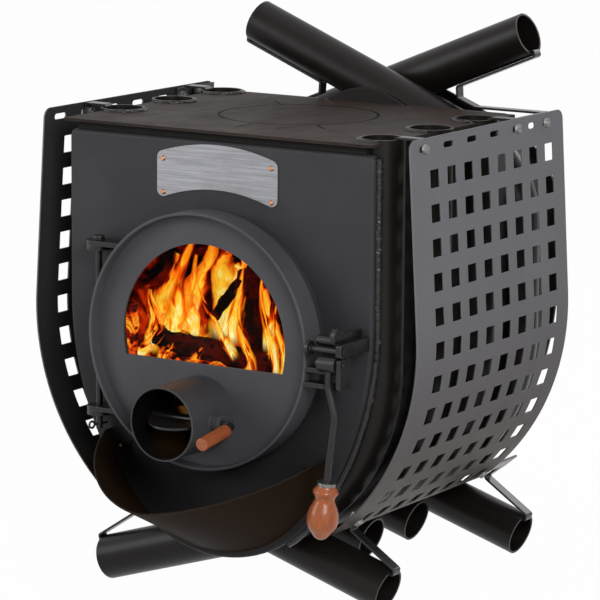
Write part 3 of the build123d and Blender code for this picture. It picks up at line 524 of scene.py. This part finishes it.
def press(piece):    # apply what modifiers the piece has
    choose(piece)
    for modifier in list(piece.modifiers):
        bpy.ops.object.modifier_apply(modifier=modifier.name)


def settle(piece, name, material, angle):    # finished: at the origin, dressed, riding on the body
    choose(piece)
    bpy.ops.object.transform_apply(location=True, rotation=True, scale=True)
    bpy.ops.object.shade_smooth_by_angle(angle=math.radians(angle))
    piece.name = name
    dress(piece, material)
    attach(piece, "stove_body")
    bpy.ops.object.select_all(action="DESELECT")


def roughen(piece, kind, grain, depth):    # lumps from one of Blender's own textures, mm
    lumps = bpy.data.textures.new(piece.name + kind, kind)
    lumps.noise_scale = grain / 1000
    rough = piece.modifiers.new("lumps", "DISPLACE")
    rough.texture = lumps
    rough.texture_coords = "GLOBAL"
    rough.strength = depth / 1000
    rough.mid_level = 0.5


def joined(pieces):
    choose(pieces[0])
    for piece in pieces:
        piece.select_set(True)
    bpy.ops.object.join()
    return pieces[0]


# Weld beads, mm and degrees: how thick, how rippled, and the lines that they follow.
# A seam runs straight down to its knee and round the belly with radius sweep, and the seen one goes
# on from its low point round the foot; end is the angle where it stops. A rim bead leaves the outer
# side of its tube open.
bead = {
    "seam": {"radius": 5.4, "across": 237.6, "depth": 11.6, "top": 616, "knee": 394.7, "sweep": 420,
             "low": 142.7, "foot": 190, "end": -57},
    "hiddenSeam": {"radius": 3.0, "across": 227.2, "depth": 15.0, "top": 610, "knee": 336.6, "sweep": 242.5,
                   "end": 240},
    "rim": {"radius": 1.9, "ring": 31.4, "across": 222.7, "height": 635.6, "first": 43.3, "pitch": 60.45,
            "open": 68},
    "spigot": {"radius": 2.6, "ring": 63.6, "depth": 501.9, "height": 516.7},
    "step": 1.3, "grain": 3.4, "ripple": 3.4,
}


def along(start, finish):    # a straight run of points
    count = max(2, int((finish - start).length * 1000 / bead["step"]))
    return [start.lerp(finish, turn / count) for turn in range(count)]


def around(centre, radius, first, last, flat=False):    # an arc of points, upright or level
    count = max(6, int(abs(math.radians(last - first)) * radius / bead["step"]))
    points = []
    for turn in range(count + 1):
        angle = math.radians(first + (last - first) * turn / count)
        reach = (radius * math.cos(angle), radius * math.sin(angle))
        points.append(centre + Vector((reach[0], reach[1], 0) if flat else (reach[0], 0, reach[1])) / 1000)
    return points


def downTo(look, side):    # a seam's straight run: side is 1 on the right and -1 on the left
    top, knee = (place(side * look["across"], look["depth"], look[end]) for end in ("top", "knee"))
    return along(top, knee)


def makeBead(name, route, radius, closed=False):    # a rippled bead of weld along a route
    line = bpy.data.curves.new(name, "CURVE")
    line.dimensions = "3D"
    line.bevel_depth = radius / 1000
    line.bevel_resolution = 2
    line.use_fill_caps = not closed
    run = line.splines.new("POLY")
    run.points.add(len(route) - 1)
    for point, spot in zip(run.points, route):
        point.co = (*spot, 1.0)
    run.use_cyclic_u = closed
    piece = bpy.data.objects.new(name, line)
    bpy.context.collection.objects.link(piece)
    choose(piece)
    bpy.ops.object.convert(target="MESH")
    piece = bpy.context.object
    roughen(piece, "CLOUDS", bead["grain"], bead["ripple"])
    press(piece)
    return piece


def settleBead(piece, name):
    settle(piece, name, weldPaint, 60)


def makeSeams():    # down both edges of the front plate
    look = bead["seam"]
    sideCentre = place(look["across"] - look["sweep"], look["depth"], look["knee"])
    turn = math.degrees(math.asin((look["knee"] - look["low"]) / look["sweep"]))
    outward = Vector((math.cos(math.radians(turn)), 0, -math.sin(math.radians(turn))))
    low = sideCentre + outward * look["sweep"] / 1000
    footCentre = low - outward * look["foot"] / 1000
    route = downTo(look, 1) + around(sideCentre, look["sweep"], 0, -turn)
    route += around(footCentre, look["foot"], -turn, look["end"])[1:]
    settleBead(makeBead("frontSeam", route, look["radius"]), "frontSeamBead")
    look = bead["hiddenSeam"]
    sideCentre = place(look["sweep"] - look["across"], look["depth"], look["knee"])
    route = downTo(look, -1) + around(sideCentre, look["sweep"], 180, look["end"])
    settleBead(makeBead("leftSeam", route, look["radius"]), "leftSeamBead")


def makeRims():    # round the mouths of the straight tubes, three on each side
    look = bead["rim"]
    rims = []
    for side, middle in ((1, 0), (-1, 180)):
        for number in range(3):
            depth = look["first"] + look["pitch"] * (2 * number + (side < 0))
            centre = place(side * look["across"], depth, look["height"])
            route = around(centre, look["ring"], middle + look["open"], middle + 360 - look["open"], True)
            rims.append(makeBead("rimBead", route, look["radius"]))
    settleBead(joined(rims), "tubeRimBeads")


def makeSpigotBead():
    look = bead["spigot"]
    route = around(place(0, look["depth"], look["height"]), look["ring"], 0, 360)[:-1]
    settleBead(makeBead("spigotBead", route, look["radius"], True), "spigotRootBead")


makeSeams()
makeRims()
makeSpigotBead()
print("weld beads")

# The fire, mm: logs by the middles of their two ends
logs = {
    "frontLog": {"ends": ((-146, 72, 338), (52, 86, 306)), "thick": 17.5, "sides": 6, "paint": charPaint},
    "underLog": {"ends": ((-160, 96, 300), (-34, 62, 300)), "thick": 15, "sides": 7, "paint": emberPaint},
    "backLog": {"ends": ((-96, 132, 300), (72, 112, 318)), "thick": 18, "sides": 7, "paint": emberPaint},
    "leaningBranch": {"ends": ((-74, 104, 366), (-10, 98, 440)), "thick": 8.5, "sides": 6,
                      "paint": charPaint},
    "leaningBlock": {"ends": ((0, 118, 312), (-26, 112, 436)), "thick": 17, "sides": 5, "paint": charPaint},
    "standingEmber": {"ends": ((-171, 52, 300), (-169, 46, 384)), "thick": 11, "sides": 6,
                      "paint": emberPaint},
}
logBark = {"burntEdge": 2.5, "lumps": (22, 7), "cracks": (6, 2.2)}    # lumps and cracks: grain and depth, mm


def makeLog(name, look):    # a split log: a short-sided prism, edges burnt round, bark broken up
    low, high = (place(*end) for end in look["ends"])
    run = high - low
    bpy.ops.mesh.primitive_cylinder_add(
        vertices=look["sides"], radius=look["thick"] / 1000, depth=run.length, location=(low + high) / 2,
        rotation=run.to_track_quat("Z", "Y").to_euler(), end_fill_type="TRIFAN")
    piece = bpy.context.object
    piece.name = name
    bpy.ops.object.transform_apply(location=True, rotation=True, scale=True)
    burnt = piece.modifiers.new("burntEdge", "BEVEL")
    burnt.width = logBark["burntEdge"] / 1000
    burnt.segments = 2
    fine = piece.modifiers.new("fine", "SUBSURF")
    fine.subdivision_type = "SIMPLE"
    fine.levels = fine.render_levels = 4
    roughen(piece, "CLOUDS", *logBark["lumps"])
    roughen(piece, "STUCCI", *logBark["cracks"])
    press(piece)
    settle(piece, name, look["paint"], 50)


# Bed of embers, mm: wide is half its width above and foot half its width below; over the first slope
# from its front, its top falls away by drop
bed = {"back": 330, "front": 14, "top": 302, "bottom": 176, "wide": 158, "foot": 92, "slope": 36, "drop": 8,
       "cuts": 30, "lumps": (30, 14), "cracks": (9, 4)}


def bedTop(depth):
    near = max(0.0, 1.0 - (depth - bed["front"]) / bed["slope"])
    return bed["top"] - bed["drop"] * near * near


def makeBed():    # heap of ash and embers lying in the belly
    deep, tall = bed["back"] - bed["front"], bed["top"] - bed["bottom"]
    middle = place(0, (bed["back"] + bed["front"]) / 2, (bed["top"] + bed["bottom"]) / 2)
    bpy.ops.mesh.primitive_cube_add(size=1, location=middle)
    piece = bpy.context.object
    piece.name = "emberBed"
    piece.scale = (2 * bed["wide"] / 1000, deep / 1000, tall / 1000)
    bpy.ops.object.transform_apply(location=True, rotation=True, scale=True)
    bpy.ops.object.mode_set(mode="EDIT")
    bpy.ops.mesh.select_all(action="SELECT")
    bpy.ops.mesh.subdivide(number_cuts=bed["cuts"])
    bpy.ops.object.mode_set(mode="OBJECT")
    low, high = middle.z - 0.5 * tall / 1000, bed["top"] / 1000
    for corner in piece.data.vertices:
        share = (corner.co.z - low) / (high - low)
        wide = bed["foot"] + (bed["wide"] - bed["foot"]) * math.sin(share * math.pi / 2)
        corner.co.x *= wide / bed["wide"]
        depth = corner.co.y * 1000 - frontFace
        corner.co.z = low + share * (bedTop(depth) / 1000 - low)
    roughen(piece, "CLOUDS", *bed["lumps"])
    roughen(piece, "STUCCI", *bed["cracks"])
    press(piece)
    settle(piece, "emberBed", emberPaint, 60)


# Loose lumps, mm: where the first one lies, across and in from the bed's front; how far from the
# front and the sides the rest begin and how deep they spread; how they lie on the bed; their three sizes
lumpLook = {"count": 70, "radius": 9, "seed": 7, "first": (-60, 40), "inset": 12, "margin": 22, "spread": 150,
            "lift": (-2, 5), "sizes": ((0.5, 1.4), (0.5, 1.2), (0.4, 0.9)), "lumps": (7, 5)}


def makeLumps():    # charcoal lying on the bed
    bpy.ops.mesh.primitive_ico_sphere_add(subdivisions=2, radius=lumpLook["radius"] / 1000)
    first = bpy.context.object
    dice = random.Random(lumpLook["seed"])
    lumps = [first]
    for count in range(lumpLook["count"]):
        lump = first.copy()
        lump.data = first.data.copy()
        bpy.context.collection.objects.link(lump)
        depth = bed["front"] + lumpLook["inset"] + dice.random() * lumpLook["spread"]
        across = (dice.random() * 2 - 1) * (bed["wide"] - lumpLook["margin"])
        lump.location = place(across, depth, bedTop(depth) + dice.uniform(*lumpLook["lift"]))
        lump.scale = [dice.uniform(*limits) for limits in lumpLook["sizes"]]
        lump.rotation_euler = [dice.uniform(0, math.pi) for axis in range(3)]
        lumps.append(lump)
    across, depth = lumpLook["first"]
    first.location = place(across, bed["front"] + depth, bedTop(bed["front"] + depth))
    piece = joined(lumps)
    choose(piece)
    bpy.ops.object.transform_apply(location=True, rotation=True, scale=True)
    roughen(piece, "CLOUDS", *lumpLook["lumps"])
    press(piece)
    settle(piece, "charcoalLumps", emberPaint, 30)


# Tongues, mm: root, two bends and tip of each, and how wide it is
tongues = [
    {"line": ((-128, 84, 312), (-120, 84, 372), (-112, 86, 424), (-92, 90, 500)), "wide": 34},
    {"line": ((-106, 96, 316), (-108, 98, 380), (-84, 100, 430), (-78, 102, 504)), "wide": 34},
    {"line": ((-120, 68, 336), (-106, 68, 372), (-118, 72, 414), (-96, 76, 468)), "wide": 24},
    {"line": ((-158, 72, 322), (-132, 74, 356), (-140, 76, 396), (-118, 80, 452)), "wide": 20},
    {"line": ((-152, 60, 318), (-134, 60, 342), (-150, 60, 366), (-146, 60, 402)), "wide": 15},
    {"line": ((-172, 50, 304), (-158, 50, 322), (-134, 52, 330), (-112, 56, 366)), "wide": 12},
    {"line": ((-84, 74, 336), (-84, 74, 372), (-104, 78, 404), (-88, 82, 452)), "wide": 17},
    {"line": ((-4, 50, 322), (-22, 52, 350), (-56, 56, 378), (-72, 60, 430)), "wide": 10},
    {"line": ((-72, 108, 330), (-50, 110, 396), (-84, 112, 436), (-44, 114, 484)), "wide": 28},
    {"line": ((-52, 112, 404), (-10, 112, 430), (-36, 112, 456), (-54, 112, 494)), "wide": 20},
    {"line": ((-34, 92, 330), (-46, 92, 384), (-12, 92, 414), (-14, 92, 464)), "wide": 14},
    {"line": ((22, 46, 300), (30, 48, 344), (-14, 50, 360), (2, 52, 412)), "wide": 9},
    {"line": ((52, 58, 302), (64, 58, 348), (12, 60, 376), (36, 62, 446)), "wide": 10},
    {"line": ((66, 50, 300), (90, 50, 336), (42, 52, 372), (64, 54, 424)), "wide": 9},
    {"line": ((90, 66, 306), (106, 66, 350), (70, 66, 390), (90, 66, 448)), "wide": 10},
    {"line": ((-92, 46, 294), (-78, 46, 310), (-66, 48, 314), (-54, 48, 334)), "wide": 11},
    {"line": ((-130, 50, 296), (-122, 50, 312), (-112, 50, 318), (-106, 50, 336)), "wide": 12},
    {"line": ((0, 46, 290), (10, 46, 302), (14, 46, 312), (24, 46, 332)), "wide": 10},
    {"line": ((4, 104, 326), (26, 106, 376), (-10, 108, 406), (12, 110, 458)), "wide": 11},
]
# Shares of a tongue's width: at its root, how it swells and thins, how far it sways, with the beat of
# the swaying and its shift from tongue to tongue, and the belly across it
tongueShape = {"root": 0.85, "swell": 0.35, "thin": 0.40, "sway": 0.42, "beat": 7.5, "shift": 2.4,
               "belly": 0.25}


def makeTongue(number, look):    # a sheet bent along its line, full low down and thinner above
    shape = tongueShape
    root, low, high, tip = (place(*spot) for spot in look["line"])
    bpy.ops.mesh.primitive_grid_add(x_subdivisions=10, y_subdivisions=26, size=2)
    sheet = bpy.context.object
    for corner in sheet.data.vertices:
        rise = (corner.co.y + 1) / 2
        rest = 1 - rise
        spot = (rest ** 3 * root + 3 * rest * rest * rise * low + 3 * rest * rise * rise * high
                + rise ** 3 * tip)
        slope = (3 * rest * rest * (low - root) + 6 * rest * rise * (high - low)
                 + 3 * rise * rise * (tip - high))
        square = Vector((slope.z, 0, -slope.x)).normalized()
        share = shape["root"] + shape["swell"] * math.sin(math.pi * rise) - shape["thin"] * rise
        half = look["wide"] / 1000 * share
        wave = math.sin(shape["beat"] * rise + shape["shift"] * number)
        spot = spot + square * shape["sway"] * half * rise * wave
        belly = shape["belly"] * half * corner.co.x ** 2
        corner.co = spot + square * corner.co.x * half + Vector((0, belly, 0))
    for corner in sheet.data.uv_layers[0].data:    # each tongue reads its own stretch of the noise
        corner.uv = (corner.uv.x + 2 * number, corner.uv.y)
    return sheet


# Sheet of red smoke behind the flames, mm: half its width and height, where its middle stands, how
# far its sides come forward, and the height of the waves in it
smokeSheet = {"wide": 183, "tall": 92, "height": 380, "depth": 172, "bow": 142, "wave": 6}


def makeSmokeSheet():
    look = smokeSheet
    bpy.ops.mesh.primitive_grid_add(x_subdivisions=40, y_subdivisions=12, size=2)
    sheet = bpy.context.object
    for corner in sheet.data.vertices:
        across, rise = corner.co.x, corner.co.y
        depth = look["depth"] - look["bow"] * across ** 4 + look["wave"] * math.sin(5 * rise)
        corner.co = place(look["wide"] * across, depth, look["height"] + look["tall"] * rise)
    settle(sheet, "smoulderingDepth", smoulderPaint, 80)


for name, look in logs.items():
    makeLog(name, look)
makeBed()
makeLumps()
flames = [makeTongue(number, look) for number, look in enumerate(tongues)]
settle(joined(flames), "fireFlames", flamePaint, 80)
makeSmokeSheet()
print("fire")

# Camera and lamps in metres and degrees; room and floorGlow are strengths, of which 1 is white
studio = {
    "camera": {"spot": (2.4428, -3.8708, 1.2169), "yaw": 32.28, "pitch": -10.35, "roll": 0.42,
               "lens": 205.94},
    "room": 0.13,
    "floorGlow": 0.98,
    "floorSize": 40,
    "floorColours": ((0.80, 0.79, 0.77), (0.83, 0.82, 0.80)),
    "lamps": {
        "key": {"spot": (2.6, -2.4, 2.0), "aim": (0.0, -0.1, 0.40), "size": (1.5, 1.5), "watts": 94},
        "fill": {"spot": (-2.6, -2.6, 1.6), "aim": (0.0, -0.1, 0.40), "size": (1.8, 1.8), "watts": 50},
        "above": {"spot": (0.2, 0.3, 3.0), "aim": (0.0, 0.0, 0.3), "size": (2.4, 2.4), "watts": 7},
        "behind": {"spot": (0.6, 3.0, 2.0), "aim": (0.0, 0.1, 0.4), "size": (2.0, 1.6), "watts": 24},
    },
}


def seenPlain(paint):    # 1 for the rays that should meet a white room
    rays = [paint.node("ShaderNodeLightPath", output=kind)
            for kind in ("Is Camera Ray", "Is Glossy Ray", "Is Transmission Ray")]
    return (rays[0] + rays[1] + rays[2]).held()


def makeCamera():
    look = studio["camera"]
    bpy.ops.object.camera_add(location=look["spot"])
    camera = bpy.context.object
    camera.name = "photoCamera"
    turn = Matrix.Rotation(math.radians(look["yaw"]), 4, "Z")
    turn @= Matrix.Rotation(math.radians(90 + look["pitch"]), 4, "X")
    turn @= Matrix.Rotation(math.radians(look["roll"]), 4, "Z")
    camera.matrix_world = Matrix.Translation(look["spot"]) @ turn
    camera.data.lens = look["lens"]
    camera.data.sensor_width = 36
    camera.data.clip_end = 60
    bpy.context.scene.camera = camera


def makeLamp(name, look):
    bpy.ops.object.light_add(type="AREA", location=look["spot"])
    lamp = bpy.context.object
    lamp.name = name + "Lamp"
    lamp.data.shape = "RECTANGLE"
    lamp.data.size, lamp.data.size_y = look["size"]
    lamp.data.energy = look["watts"]
    lamp.rotation_euler = (Vector(look["aim"]) - Vector(look["spot"])).to_track_quat("-Z", "Y").to_euler()


def makeFloor():    # pale ground that shows white but keeps the stove's shadow
    bpy.ops.mesh.primitive_plane_add(size=studio["floorSize"])
    floor = bpy.context.object
    floor.name = "studioFloor"
    paint = Paint("studioFloor")
    dull = paint.coat(paint.blend(paint.noise(3.0, 3.0), *studio["floorColours"]), 0.9)
    glow = paint.node("ShaderNodeEmission", {}, {"Color": (1, 1, 1, 1), "Strength": 1.0})
    seen = seenPlain(paint) * studio["floorGlow"]
    dress(floor, paint.done(paint.node("ShaderNodeMixShader", {}, {0: seen, 1: dull, 2: glow})))


def makeRoom():
    paint = Paint("studioRoom", "worlds")
    strength = seenPlain(paint) * (1.0 - studio["room"]) + studio["room"]
    white = paint.node("ShaderNodeBackground", {}, {"Color": (1, 1, 1, 1), "Strength": strength})
    bpy.context.scene.world = paint.done(white, "ShaderNodeOutputWorld")


makeCamera()
for name, look in studio["lamps"].items():
    makeLamp(name, look)
makeFloor()
makeRoom()
bpy.context.scene.view_settings.view_transform = "Standard"
print("studio")
